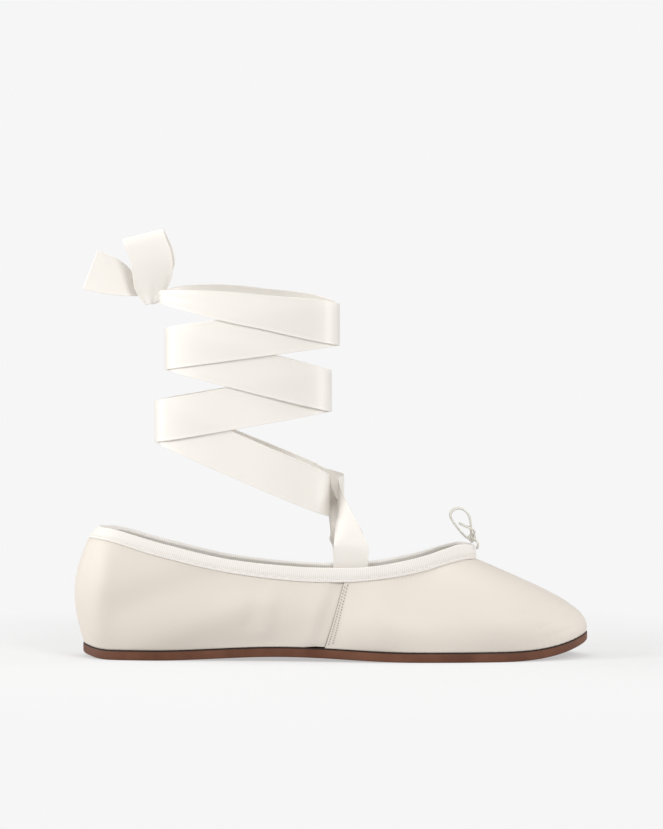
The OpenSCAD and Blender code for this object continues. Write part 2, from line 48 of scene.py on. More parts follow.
# ---- the shoe's dimensions ----
SOLE_T = 4.8
TOE_SPRING = 7.9
ARCH_LIFT = 2.0
SOLE_EDGE = 0.4
BOARD_T = 1.5
PAD_T = 1.6
SATIN_T = 0.7
STIFFENER_T = 0.7
LINING_T = 0.6
GAP = 0.05
MARGIN_W = 7.0
BIND_H = 7.0
BIND_T = 0.5
STITCH_UP = 1.6  # the binding's stitches above its lower edge
CORD_D = 1.0
THREAD_D = 0.35
RIBBON_W = 20.0
RIBBON_T = 0.3
LAYER_PITCH = 1.0
CUFF_HALF_W = 25.0
KNOT_R = 4.8
FOLD = 1.9 / 7  # share of the binding that stands above the satin's edge
LAST = 13  # the heel's station
SEAM = 7  # station of the side seam
COLUMN = 0.25  # stations per column

# Rows of the surface: the margin below the insole, then the wall, then the collar.
WALL_FROM = 2
COLLAR_FROM = 10
TOP_ROW = 12

# Per station, toe to heel: the lasting line, the binding's lower edge, its upper edge, and
# the low and high swell of the wall.
(LINE_X, LINE_HALF, LOW_X, LOW_HALF, LOW_Z, HIGH_X, HIGH_HALF, HIGH_Z,
 LOW_SWELL, HIGH_SWELL) = range(10)
STATIONS = np.array([
    [122.2, 0.0, 68.8, 0.0, 46.6, 68.0, 0.0, 53.6, 2.5, 33.0],
    [118.6, 13.5, 67.0, 7.6, 46.8, 66.0, 7.0, 53.9, 2.5, 31.0],
    [109.0, 24.8, 62.4, 14.4, 46.6, 60.8, 13.4, 54.2, 3.0, 26.0],
    [93.5, 32.8, 55.0, 20.4, 45.2, 53.4, 18.9, 52.3, 3.5, 18.5],
    [73.0, 37.6, 44.4, 25.4, 42.2, 43.2, 23.6, 49.2, 4.0, 12.0],
    [48.5, 39.0, 31.4, 28.8, 39.6, 30.6, 26.9, 46.4, 4.5, 7.5],
    [22.5, 37.2, 18.6, 30.4, 38.0, 18.6, 28.6, 44.7, 5.0, 5.5],
    [-3.2, 33.0, 5.8, 30.8, 37.2, 6.4, 29.0, 44.1, 5.0, 4.5],
    [-30.0, 28.8, -18.0, 29.8, 37.8, -17.2, 28.0, 44.7, 5.0, 4.0],
    [-60.0, 26.6, -50.0, 27.0, 41.7, -49.0, 25.2, 48.0, 5.0, 4.0],
    [-88.0, 26.0, -82.0, 23.8, 49.0, -79.6, 21.6, 55.0, 5.0, 6.0],
    [-107.5, 21.0, -104.2, 18.8, 55.6, -100.6, 16.4, 61.0, 5.5, 8.5],
    [-115.8, 10.6, -113.2, 9.2, 56.8, -108.8, 7.8, 62.2, 5.5, 9.5],
    [-118.4, 0.0, -115.8, 0.0, 56.8, -110.8, 0.0, 62.4, 5.5, 10.0]])
FLIP = np.array([1, -1, 1, -1, 1, 1, -1, 1, 1, 1])  # a station's mirror image

HEEL_FLAT = (-104.0, -84.0)
BALL_FLAT = (40.0, 78.0)
HEEL_BACK = -118.5
TOE_TIP = 123.0
HEEL_LIFT = 2.2
TOE_CURVE = 2.6
SOLE_THINNING = 0.3  # how much thinner the sole is at the toe's tip
THIN_FROM = 90.0
TOE_TURN = 3.5  # how far the toe turns in at TOE_TURN_AT
TOE_TURN_AT = 122
WAIST = (0.10, -15, 42)  # the medial side's narrowing: share, middle x, reach
MEDIAL_DROP = (1.2, -5, 50)  # how much lower the medial topline is: height, middle x, reach
LOW_PULL, HIGH_PULL = 0.32, 0.4  # where the wall bulges, as shares of its height


# ---- curves and surfaces ----
def unit(v):
    return v / np.maximum(np.linalg.norm(v, axis=-1, keepdims=True), 1e-9)


def catmull(a, b, c, d, t):
    return (2 * b + (c - a) * t + (2 * a - 5 * b + 4 * c - d) * t ** 2
            + (3 * b - a - 3 * c + d) * t ** 3) / 2


def smooth(points, steps):
    """A finer list through the points, by the same rule as the CAD's routes."""
    p = np.asarray(points, float)
    n = len(p)
    fine = [catmull(p[max(i - 1, 0)], p[i], p[i + 1], p[min(i + 2, n - 1)], k / steps)
            for i in range(n - 1) for k in range(steps)]
    return np.array(fine + [p[-1]])


def bump(x, centre, width):
    return np.exp(-((x - centre) / width) ** 2)


def ease(t):
    t = np.clip(t, 0, 1)
    return t * t * (3 - 2 * t)


def sole_low(x):
    x = np.asarray(x, float)
    heel = HEEL_LIFT * ((HEEL_FLAT[0] - x) / (HEEL_FLAT[0] - HEEL_BACK)) ** 2
    share = (x - HEEL_FLAT[1]) / (BALL_FLAT[0] - HEEL_FLAT[1])
    arch = ARCH_LIFT * (1 - np.cos(2 * np.pi * share)) / 2
    past_ball = np.maximum(x - BALL_FLAT[1], 0) / (TOE_TIP - BALL_FLAT[1])
    return np.select([x < HEEL_FLAT[0], x < HEEL_FLAT[1], x < BALL_FLAT[0], x < BALL_FLAT[1]],
                     [heel, 0, arch, 0], TOE_SPRING * past_ball ** TOE_CURVE)


def sole_high(x):
    thin = np.maximum(0, (x - THIN_FROM) / (TOE_TIP - THIN_FROM))
    return sole_low(x) + SOLE_T - SOLE_THINNING * thin


def station(i):
    if i < 0:
        return STATIONS[-i] * FLIP
    return STATIONS[2 * LAST - i] * FLIP if i > LAST else STATIONS[i]


PADDED_STATIONS = np.array([station(i) for i in range(-1, LAST + 3)])


def rows_at(u):
    """Interpolated station rows and the side, -1 lateral or 1 medial, for each u."""
    u = np.mod(np.asarray(u, float), 2 * LAST)
    side = np.where(u <= LAST, -1.0, 1.0)
    s = np.where(u <= LAST, u, 2 * LAST - u)
    i = np.minimum(np.floor(s).astype(int), LAST - 1)
    t = (s - i)[..., None]
    p = PADDED_STATIONS
    return catmull(p[i], p[i + 1], p[i + 2], p[i + 3], t), side


def bend(x):
    return np.where(x > 0, TOE_TURN * (x / TOE_TURN_AT) ** 2, 0)


def lasting_xy(u):
    r, side = rows_at(u)
    x = r[..., LINE_X]
    waist = np.where(side > 0, 1 - WAIST[0] * bump(x, *WAIST[1:]), 1)
    return np.stack([x, side * r[..., LINE_HALF] * waist + bend(x)], -1)


def outward(u):
    d = lasting_xy(u + 0.05) - lasting_xy(u - 0.05)
    return unit(np.stack([-d[..., 1], d[..., 0]], -1))


def edge(u, x, half, z):
    r, side = rows_at(u)
    drop = np.where(side > 0, MEDIAL_DROP[0] * bump(r[..., x], *MEDIAL_DROP[1:]), 0)
    return np.stack([r[..., x], side * r[..., half] + bend(r[..., x]), r[..., z] - drop], -1)


def low_edge(u):
    return edge(u, LOW_X, LOW_HALF, LOW_Z)


def high_edge(u):
    return edge(u, HIGH_X, HIGH_HALF, HIGH_Z)


def on_sole(xy):
    return np.concatenate([xy, (sole_high(xy[..., 0]) + GAP)[..., None]], -1)


def wall(u, t):
    """The satin's face from the lasting line (t = 0) to the binding's lower edge (1)."""
    r, _ = rows_at(u)
    n = outward(u)
    foot = on_sole(lasting_xy(u))
    top = low_edge(u)
    h = (top - foot)[..., 2:]
    up = np.array([0, 0, 1.0])
    out = np.concatenate([n, np.zeros_like(n[..., :1])], -1)
    b = foot + out * r[..., LOW_SWELL, None] + up * LOW_PULL * h
    c = top + out * r[..., HIGH_SWELL, None] - up * HIGH_PULL * h
    t = np.asarray(t, float)[..., None]
    return (foot * (1 - t) ** 3 + b * 3 * t * (1 - t) ** 2
            + c * 3 * t * t * (1 - t) + top * t ** 3)


def wall_share(row):
    return (row - WALL_FROM) / (COLLAR_FROM - WALL_FROM)


def wall_row(t):
    return WALL_FROM + (COLLAR_FROM - WALL_FROM) * t


def skin(u, row):
    """The satin's face at any row, from the margin's inner edge (0) to the collar (12)."""
    u, row = np.broadcast_arrays(np.asarray(u, float), np.asarray(row, float))
    tuck = MARGIN_W * (1 - np.clip(row / WALL_FROM, 0, 1))
    under = on_sole(lasting_xy(u) - outward(u) * tuck[..., None])
    side = wall(u, np.clip(wall_share(row), 0, 1))
    low = low_edge(u)
    up = (1 - FOLD) * np.clip((row - COLLAR_FROM) / (TOP_ROW - COLLAR_FROM), 0, 1)
    collar = low + (high_edge(u) - low) * up[..., None]
    return np.where((row < WALL_FROM)[..., None], under,
                    np.where((row <= COLLAR_FROM)[..., None], side, collar))


def skin_normals(u, row):
    du, dr = 0.06, 0.12
    a = skin(u, np.minimum(row + dr, TOP_ROW)) - skin(u, np.maximum(row - dr, 0))
    b = skin(u + du, row) - skin(u - du, row)
    return unit(np.cross(a, b))


# ---- soft shape ----
# Swells and hollows of the upper: height, width and the two ends (x, z) of the line that
# each follows along the shoe's side.  Every layer of the upper takes the same shape.
SWELLS = ((0.9, 6.0, (-110, 12), (-107, 46)), (-1.5, 8.5, (-100, 24), (-58, 42)),
          (1.5, 8.0, (-92, 5), (-34, 29)), (-1.3, 8.5, (-46, 2), (-8, 13)),
          (0.8, 4.5, (-9, 8), (-6, 34)), (-1.1, 5.0, (2, 8), (6, 36)),
          (1.3, 7.0, (23, 8), (21, 38)), (-1.6, 13.0, (48, 8), (38, 38)),
          (1.2, 12.0, (84, 12), (62, 42)), (0.5, 3.5, (-31, 14), (-27, 35)),
          (-0.5, 3.5, (-39, 18), (-34, 38)))
# The same for the small creases by the toe.
CREASES = ((-0.26, 1.5, (98, 15), (112, 22)), (-0.24, 1.3, (101, 11), (116, 15)),
           (-0.22, 1.6, (90, 22), (104, 29)), (-0.18, 1.2, (107, 20), (115, 25)))
# Faint waves all over it: height, per station, per share of the wall's height, phase.
DRIFT = ((0.08, 1.3, 4.1, 0.4), (0.05, 2.7, -3.2, 1.9))
PUCKER_H = 0.10  # gathers where the toe is lasted
GATHER_H = 0.05  # gathers under the binding
SEAM_REACH = 1.2  # stations over which the straightened seam fades out


def line_swell(x, z, height, width, a, b):
    (ax, az), (bx, bz) = a, b
    run = ((x - ax) * (bx - ax) + (z - az) * (bz - az)) / ((bx - ax) ** 2 + (bz - az) ** 2)
    run = np.clip(run, 0, 1)
    off = np.hypot(x - ax - run * (bx - ax), z - az - run * (bz - az))
    return height * np.exp(-(off / width) ** 2)


def seam_shift(t):
    """Stations from the side seam's column to the straight line between its two ends."""
    t = np.clip(t, 0, 1)
    at, step = np.full_like(t, float(SEAM)), 0.01
    p, q = wall(at, t), wall(at + step, t)
    foot, top = wall(at, 0 * t), wall(at, 0 * t + 1)
    share = (p[..., 2] - foot[..., 2]) / (top[..., 2] - foot[..., 2])
    line = foot[..., 0] + (top[..., 0] - foot[..., 0]) * share
    return (line - p[..., 0]) * step / (q[..., 0] - p[..., 0])


def straighten(u, t):
    """Moves the columns near the side seams so that a seam runs straight up the side."""
    turn = np.mod(u, 2 * LAST)
    side = np.where(turn > LAST, -1.0, 1.0)
    s = np.where(turn > LAST, 2 * LAST - turn, turn)
    return u + side * seam_shift(t) * bump(s, SEAM, SEAM_REACH)


def satin_relief(u, t):
    """How far the satin stands off its smooth shape, over the wall (t from 0 to 1)."""
    t = np.clip(t, 0, 1)
    s = np.minimum(np.mod(u, 2 * LAST), 2 * LAST - np.mod(u, 2 * LAST))
    p = wall(u, t)
    calm = np.sin(np.pi * t) ** 0.6
    drift = sum(h * np.sin(a * s + b * t + c) for h, a, b, c in DRIFT)
    shape = sum(line_swell(p[..., 0], p[..., 2], *row) for row in SWELLS + CREASES)
    pucker = PUCKER_H * np.sin(30 * s) * bump(s, 0.0, 3.2) * bump(t, 0.02, 0.07)
    gather = GATHER_H * np.sin(42 * s) * bump(t, 1.0, 0.06)
    return (shape + drift) * calm + pucker + gather


# ---- mesh making ----
WELD = 0.02
TUBE_SIDES = 12
STITCH_RINGS, STITCH_SIDES = 7, 8
STITCH_ARCH, STITCH_SINK = 0.07, 0.05


def add_object(name, data):
    obj = bpy.data.objects.new(name, data)
    bpy.context.scene.collection.objects.link(obj)
    return obj


def make_mesh(name, points, faces, material, uv=None, painted_shade=None):
    """points in mm. uv is one pair per point, in mm; painted_shade is 0 to 1 per point, how much
    painted shade the colour gets there.
    """
    me = bpy.data.meshes.new(name)
    me.from_pydata((np.asarray(points) * MM).tolist(), [], [tuple(f) for f in faces])
    me.validate()
    if uv is not None:
        layer = me.uv_layers.new(name="mm")
        index = np.empty(len(me.loops), np.int64)
        me.loops.foreach_get("vertex_index", index)
        layer.data.foreach_set("uv", np.asarray(uv, np.float32)[index].ravel())
    if painted_shade is not None:
        me.attributes.new("painted_shade", "FLOAT", "POINT").data.foreach_set(
            "value", np.asarray(painted_shade, np.float32).ravel())
    me.shade_smooth()
    me.materials.append(material)
    return add_object(name, me)


def ring_faces(n, m):
    """Faces of a grid of n columns by m rows whose last column meets its first."""
    return [(i * m + j, k * m + j, k * m + j + 1, i * m + j + 1)
            for i, k in enumerate([*range(1, n), 0]) for j in range(m - 1)]


def sheet_faces(n, m, ring=False):
    """Faces of a closed sheet: n columns by m rows outside, then the same inside."""
    faces = []
    last = n if ring else n - 1
    for i in range(last):
        k = (i + 1) % n
        for j in range(m - 1):
            a, b, c, d = i * m + j, k * m + j, k * m + j + 1, i * m + j + 1
            faces.append((a, d, c, b))
            faces.append(tuple(q + n * m for q in (a, b, c, d)))
        faces.append((i * m, k * m, k * m + n * m, i * m + n * m))
        a, b = k * m + m - 1, i * m + m - 1
        faces.append((a, b, b + n * m, a + n * m))
    if not ring:
        for j in range(m - 1):
            faces.append((j, j + n * m, j + 1 + n * m, j + 1))
            e = (n - 1) * m + j
            faces.append((e + 1, e + 1 + n * m, e + n * m, e))
    return faces


def strides(path):
    return np.linalg.norm(np.diff(path, axis=0), axis=1)


def run_along(path):
    """The length of a path up to each of its points."""
    return np.concatenate([[0], np.cumsum(strides(path))])


def grid_uv(grid):
    """Lengths along each direction of a grid of columns, in mm."""
    across = np.linalg.norm(np.diff(grid, axis=1), axis=2)
    v = np.concatenate([np.zeros((len(grid), 1)), np.cumsum(across, 1)], 1)
    u = run_along(grid.mean(1))
    return np.stack([np.repeat(u[:, None], grid.shape[1], 1), v], -1)


def closed_sheet(name, outer, inner, material, ring=False, painted_shade=None):
    n, m = outer.shape[:2]
    uv = grid_uv(outer).reshape(-1, 2)
    points = np.concatenate([outer.reshape(-1, 3), inner.reshape(-1, 3)])
    if painted_shade is not None:
        painted_shade = np.concatenate([painted_shade.ravel(), painted_shade.ravel()])
    faces = sheet_faces(n, m, ring)
    obj = make_mesh(name, points, faces, material, np.concatenate([uv, uv]), painted_shade)
    return face_outward(obj)


def face_outward(obj):
    """Turns every face outward, and keeps the mesh closed."""
    bm = bmesh.new()
    bm.from_mesh(obj.data)
    bmesh.ops.recalc_face_normals(bm, faces=bm.faces)
    bm.to_mesh(obj.data)
    bm.free()
    return obj


def weld(obj):
    """Joins the points that a pole or a midline has more than once."""
    bm = bmesh.new()
    bm.from_mesh(obj.data)
    bmesh.ops.remove_doubles(bm, verts=bm.verts, dist=WELD * MM)
    bmesh.ops.dissolve_degenerate(bm, edges=bm.edges, dist=WELD * MM / 4)
    bm.to_mesh(obj.data)
    bm.free()


def tube_points(path, radii, sides):
    """Rings of a tube along path, each turned as little as possible from the last."""
    path = np.asarray(path, float)
    tangent = unit(np.gradient(path, axis=0))
    up = np.array([1.0, 0, 0]) if abs(tangent[0][2]) > 0.95 else np.array([0, 0, 1.0])
    rings = []
    for p, t, r in zip(path, tangent, radii):
        up = unit(up - t * np.dot(t, up))
        w = np.cross(t, up)
        a = np.linspace(0, 2 * np.pi, sides, endpoint=False)[:, None]
        rings.append(p + (up * np.cos(a) + w * np.sin(a)) * r)
    return np.array(rings)


def tube_faces(n, sides, offset=0):
    faces = []
    for i in range(n - 1):
        for k in range(sides):
            a, b = i * sides + k, i * sides + (k + 1) % sides
            faces.append(tuple(offset + q for q in (a, b, b + sides, a + sides)))
    faces.append(tuple(offset + k for k in reversed(range(sides))))
    faces.append(tuple(offset + (n - 1) * sides + k for k in range(sides)))
    return faces


def tube(name, path, diameter, material):
    path = np.asarray(path, float)
    rings = tube_points(path, np.full(len(path), diameter / 2), TUBE_SIDES)
    round_uv = np.arange(TUBE_SIDES) / TUBE_SIDES * math.pi * diameter
    uv = np.stack(np.meshgrid(run_along(path), round_uv, indexing="ij"), -1).reshape(-1, 2)
    faces = tube_faces(len(path), TUBE_SIDES)
    return face_outward(make_mesh(name, rings.reshape(-1, 3), faces, material, uv))


def stitches(name, pairs, normals, material):
    """Short threads with sunk, tapered ends, all in one piece."""
    points, faces = [], []
    share = np.linspace(0, 1, STITCH_RINGS)
    swell = np.sqrt(np.clip(1 - (2 * share - 1) ** 4, 0.08, 1))
    for (p, q), n in zip(pairs, normals):
        arch = np.sin(np.pi * share)[:, None] * STITCH_ARCH - STITCH_SINK
        path = p + (q - p) * share[:, None] + n * arch
        rings = tube_points(path, swell * THREAD_D / 2, STITCH_SIDES)
        faces += tube_faces(len(path), STITCH_SIDES, len(points) * STITCH_RINGS * STITCH_SIDES)
        points.append(rings.reshape(-1, 3))
    return face_outward(make_mesh(name, np.concatenate(points), faces, material))


def put(obj, body, slot, *nodes):
    """Makes a piece ride on its body and stand for its CAD nodes, which it hides; slot, the name
    of its finish, is not used.
    """
    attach(obj, body)
    if nodes:
        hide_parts(*nodes)
    return obj


# ---- materials ----
class Nodes:
    """A node tree under construction, by short calls."""

    def __init__(self, owner):
        owner.use_nodes = True
        self.tree = owner.node_tree

    def node(self, kind, **inputs):
        n = self.tree.nodes.new("ShaderNode" + kind)
        for key, value in inputs.items():
            self.feed(n.inputs[key.replace("_", " ")], value)
        return n

    def feed(self, socket, value):
        if isinstance(value, bpy.types.NodeSocket):
            self.tree.links.new(value, socket)
        else:
            socket.default_value = value

    def joined(self, kind, first, second, **inputs):
        """A node that adds or mixes the light of two others."""
        n = self.node(kind, **inputs)
        sockets = [socket for socket in n.inputs if socket.type == "SHADER"]
        for socket, source in zip(sockets, (first, second)):
            self.feed(socket, source.outputs[0])
        return n


class Shader(Nodes):
    """A material made from the standard surface."""

    def __init__(self, name):
        self.material = bpy.data.materials.new(name)
        super().__init__(self.material)
        self.surface = self.tree.nodes["Principled BSDF"]

    def math(self, operation, a, b=0.0):
        n = self.node("Math")
        n.operation = operation
        self.feed(n.inputs[0], a)
        self.feed(n.inputs[1], b)
        return n.outputs[0]

    def place(self):
        return self.node("TexCoord").outputs["Object"]

    def noise(self, scale, detail):
        return self.node("TexNoise", Scale=scale, Detail=detail, Vector=self.place()).outputs[0]

    def uv(self):
        n = self.node("UVMap")
        n.uv_map = "mm"
        return self.node("SeparateXYZ", Vector=n.outputs[0]).outputs

    def wave(self, value, pitch):
        """A sine from 0 to 1 with that pitch in mm."""
        s = self.math("SINE", self.math("MULTIPLY", value, 2 * math.pi / pitch))
        return self.math("ADD", self.math("MULTIPLY", s, 0.5), 0.5)

    def ramp(self, value, low, high, start=0.35, end=0.65):
        n = self.node("ValToRGB", Fac=value)
        n.color_ramp.elements[0].position = start
        n.color_ramp.elements[1].position = end
        n.color_ramp.elements[0].color = (*low, 1)
        n.color_ramp.elements[1].color = (*high, 1)
        return n.outputs[0]

    def relief(self, *heights):
        """Stacked bumps, each (height socket, distance in mm, strength)."""
        normal = None
        for height, distance, strength in heights:
            n = self.node("Bump", Height=height, Distance=distance * MM, Strength=strength)
            if normal is not None:
                self.feed(n.inputs["Normal"], normal)
            normal = n.outputs[0]
        self.feed(self.surface.inputs["Normal"], normal)

    def with_painted_shade(self, color):
        """The colour, multiplied towards deep brown as painted shade where the mesh's
        painted_shade value is above 0.
        """
        n = self.node("Attribute")
        n.attribute_name = "painted_shade"
        mix = self.node("Mix")
        mix.data_type = "RGBA"
        mix.blend_type = "MULTIPLY"
        factor, first, second = (mix.inputs[i] for i in (0, 6, 7))
        self.feed(factor, n.outputs["Fac"])
        self.feed(first, color)
        # the colour of full painted shade
        self.feed(second, (0.16, 0.14, 0.12, 1))
        return mix.outputs[2]

    def let_light_through(self, color, share):
        """Mixes in light that comes through the cloth from behind."""
        through = self.node("BsdfTranslucent", Color=color)
        mix = self.joined("MixShader", self.surface, through, Fac=share)
        self.feed(self.tree.nodes["Material Output"].inputs["Surface"], mix.outputs[0])

    def set(self, **inputs):
        for key, value in inputs.items():
            self.feed(self.surface.inputs[key.replace("_", " ")], value)
        return self.material


# In the four recipes noise scales are per metre, and pitches and bump distances are mm.
def satin_material(name, low, high, roughness, weave, gloss, through=0.0):
    """Satin: long floats with a fine twill, and slow changes of tone."""
    s = Shader(name)
    u, v, _ = s.uv()
    threads = s.wave(u, weave)
    floats = s.wave(s.math("ADD", v, s.math("MULTIPLY", u, 0.5)), weave * 2.5)
    cloth = s.math("MULTIPLY", threads, floats)
    # random tone, with painted shade where the mesh carries it
    color = s.with_painted_shade(s.ramp(s.noise(9, 2), low, high))
    rough = s.math("ADD", s.math("MULTIPLY", s.noise(120, 2), 0.06), roughness - 0.03)
    s.relief((s.noise(42, 2), 0.5, 0.06), (cloth, 0.03, 0.2))
    if through:
        s.let_light_through(color, through)
    return s.set(Base_Color=color, Roughness=rough, Sheen_Weight=0.15, Sheen_Roughness=0.35,
                 Anisotropic=0.5, Specular_IOR_Level=gloss)


def grosgrain_material(name):
    """Ribbed tape: ribs run across it, with a selvedge along each edge."""
    s = Shader(name)
    u, v, _ = s.uv()
    ribs = s.wave(u, 0.95)
    # The tape's colour follows the ribs' bump and is deeper in the grooves between them: painted
    # shade.
    tone = s.ramp(ribs, (0.79, 0.757, 0.712), (0.86, 0.83, 0.785), 0.1, 0.8)
    s.relief((ribs, 0.10, 0.5), (s.wave(v, 0.3), 0.03, 0.2), (s.noise(900, 2), 0.03, 0.2))
    s.let_light_through(tone, 0.2)
    return s.set(Base_Color=s.with_painted_shade(tone), Roughness=0.65, Sheen_Weight=0.2,
                 Sheen_Roughness=0.4, Specular_IOR_Level=0.3)


def woven_material(name, low, high, pitch, roughness=0.85, depth=0.08):
    """Plain-weave cotton, for linings, thread and cord."""
    s = Shader(name)
    x, _, z = s.node("SeparateXYZ", Vector=s.place()).outputs
    weave = s.math("MULTIPLY", s.wave(x, pitch * MM), s.wave(z, pitch * MM))
    s.relief((weave, depth, 0.4), (s.noise(600, 3), depth, 0.3))
    return s.set(Base_Color=s.ramp(s.noise(40, 4), low, high), Roughness=roughness,
                 Sheen_Weight=0.25, Sheen_Roughness=0.4, Specular_IOR_Level=0.25)


def leather_material(name, low, high, roughness):
    """Cut leather, board or foam: fibre noise, pores and uneven dye."""
    s = Shader(name)
    pores = s.node("TexVoronoi", Scale=900.0, Vector=s.place()).outputs[0]
    s.relief((pores, 0.06, 0.25), (s.noise(350, 4), 0.25, 0.3))
    # random uneven dye, with painted shade where the mesh carries it
    color = s.with_painted_shade(s.ramp(s.noise(70, 4), low, high, 0.3, 0.7))
    return s.set(Base_Color=color, Roughness=roughness, Specular_IOR_Level=0.3)


SATIN = satin_material("satin_ivory", (0.605, 0.552, 0.49), (0.635, 0.583, 0.522),
                       roughness=0.52, weave=0.22, gloss=0.32)
RIBBON = satin_material("satin_ribbon", (0.87, 0.84, 0.795), (0.91, 0.88, 0.835),
                        roughness=0.30, weave=0.18, gloss=0.45, through=0.25)
TAPE = grosgrain_material("grosgrain")
LINING = woven_material("lining_grey", (0.66, 0.635, 0.60), (0.72, 0.695, 0.66), pitch=0.6)
SOCK = woven_material("sock_lining", (0.60, 0.57, 0.53), (0.68, 0.65, 0.61), pitch=0.9)
THREAD = woven_material("thread", (0.80, 0.765, 0.715), (0.87, 0.84, 0.79),
                        pitch=0.25, roughness=0.6)
# Near-black thread for the side seams: painted shade, standing for the shade in the needle
# holes.
SEAM_THREAD_PAINTED_SHADE = woven_material("seam_thread_painted_shade", (0.15, 0.125, 0.10), (0.22, 0.19, 0.155),
                             pitch=0.25, roughness=0.6)
CORD = woven_material("waxed_cord", (0.55, 0.53, 0.48), (0.62, 0.60, 0.545),
                      pitch=0.4, roughness=0.5, depth=0.006)
SOLE = leather_material("sole_leather", (0.092, 0.031, 0.014), (0.145, 0.057, 0.030), 0.6)
BOARD = leather_material("insole_board", (0.36, 0.26, 0.16), (0.46, 0.34, 0.22), 0.9)
FOAM = leather_material("heel_foam", (0.70, 0.66, 0.55), (0.80, 0.76, 0.66), 0.95)


# ---- the sole stack ----
SOLE_ROUND = 0.9  # radius of the sole's edges
RIM_STEP = 0.05  # stations between the sole's columns
SHADED_ROWS = 8  # rows of its top that get painted shade, for the upper's shadow on the sole's top edge


def slab(name, profile, material):
    """A closed plate: profile rows are (grow, share to the midline, height function)."""
    u = np.arange(0.0, 2 * LAST, RIM_STEP)
    other = 2 * LAST - u
    rows = []
    for grow, share, height in profile:
        rim = lasting_xy(u) + outward(u) * grow
        mid = (rim + lasting_xy(other) + outward(other) * grow) / 2
        xy = rim + (mid - rim) * share
        rows.append(np.concatenate([xy, height(xy[:, :1])], 1))
    grid = np.stack(rows, 1)
    n, m = grid.shape[:2]
    # Painted shade on the top rows, for the shadow that the upper casts on the sole's edge.
    painted_shade = np.zeros((n, m))
    painted_shade[:, m - SHADED_ROWS:] = 1.0
    uv = grid_uv(grid).reshape(-1, 2)
    obj = make_mesh(name, grid.reshape(-1, 3), ring_faces(n, m), material, uv, painted_shade)
    weld(obj)
    return face_outward(obj)


def plate_profile(grow, low, high, round_by):
    """Rows round a plate's section from the bottom's midline to the top's."""
    def level(f, lift):
        return lambda x: f(x) + lift
    turns = [(math.sin(a), 1 - math.cos(a)) for a in np.linspace(0, math.pi / 2, 5)]
    bottom = [(grow - round_by, s, level(low, 0)) for s in (1.0, 0.75, 0.5, 0.25)]
    low_round = [(grow - round_by + round_by * s, 0, level(low, round_by * c)) for s, c in turns]
    high_round = [(grow - round_by + round_by * s, 0, level(high, -round_by * c))
                  for s, c in reversed(turns)]
    top = [(grow - round_by, s, level(high, 0)) for s in (0.25, 0.5, 0.75, 1.0)]
    return bottom + low_round + high_round + top


def make_sole():
    profile = plate_profile(SOLE_EDGE, sole_low, sole_high, SOLE_ROUND)
    return put(slab("sole", profile, SOLE), "shoe", "sole_leather", "outsole")


# ---- the upper ----
SEAM_COLUMN = SEAM / COLUMN
COLUMNS = 2 * LAST / COLUMN
TONGUE = 1  # columns that the quarter runs on below the vamp
TONGUE_REACH = 2.5  # columns over which it sinks there
STEP = 0.2  # columns between a layer's points
FINE = np.linspace(0, 1.2, 41)  # columns from an edge that get points close together
NO_PAINTED_SHADE = (0.0, 0.0)  # a layer's line of painted shade: columns from its edges, strength
PAINTED_SHADE_W = 0.035
MID_DEPTH = SATIN_T + GAP
LINING_DEPTH = MID_DEPTH + STIFFENER_T + GAP
BACK_FACE = -(LINING_DEPTH + LINING_T)
# The stiffeners: name, first and last column, top row.
STIFFENERS = (("heel_counter", COLUMNS / 2 - 12, COLUMNS / 2 + 12, 8), ("toe_puff", -9, 9, 6))


def row_steps(wall_steps):
    return np.concatenate([np.linspace(0, WALL_FROM, 4)[:-1],
                           np.linspace(WALL_FROM, COLLAR_FROM, wall_steps)[:-1],
                           np.linspace(COLLAR_FROM, TOP_ROW, 6)])


def upper_layer(name, first, last, depth, thick, material, painted_shade_line=NO_PAINTED_SHADE, dips=(),
                rows=row_steps(64)):
    """A layer of the upper between two columns, as a closed sheet; dips are places
    (column, height, reach) where it sinks to the middle layer."""
    ends = np.concatenate([first + FINE, last - FINE])
    u = np.union1d(np.arange(first, last, STEP), ends) * COLUMN
    u = np.append(u[np.insert(np.diff(u) > 1e-4, 0, True)], last * COLUMN)
    uu, rr = np.meshgrid(u, rows, indexing="ij")
    t = wall_share(rr)
    uu = straighten(uu, t)
    points, normals = skin(uu, rr), skin_normals(uu, rr)
    dip = np.zeros_like(u)
    for centre, height, reach in dips:
        dip = np.maximum(dip, height * np.maximum(0, 1 - np.abs(u / COLUMN - centre) / reach))
    deep = (depth + np.minimum(dip, MID_DEPTH))[:, None, None]
    on_wall = (rr >= WALL_FROM) & (rr <= COLLAR_FROM)
    stand = np.where(on_wall, satin_relief(uu, t), 0)[..., None]
    from_edge = np.minimum(u / COLUMN - first, last - u / COLUMN)
    # Painted shade in a line at that many columns from the layer's edges, for the shadow at the
    # seam's step.
    painted_shade = painted_shade_line[1] * bump(from_edge, painted_shade_line[0], PAINTED_SHADE_W)
    painted_shade = np.repeat(painted_shade[:, None], len(rr[0]), 1)
    return closed_sheet(name, points - normals * (deep - stand),
                        points - normals * (deep + thick - stand), material, painted_shade=painted_shade)


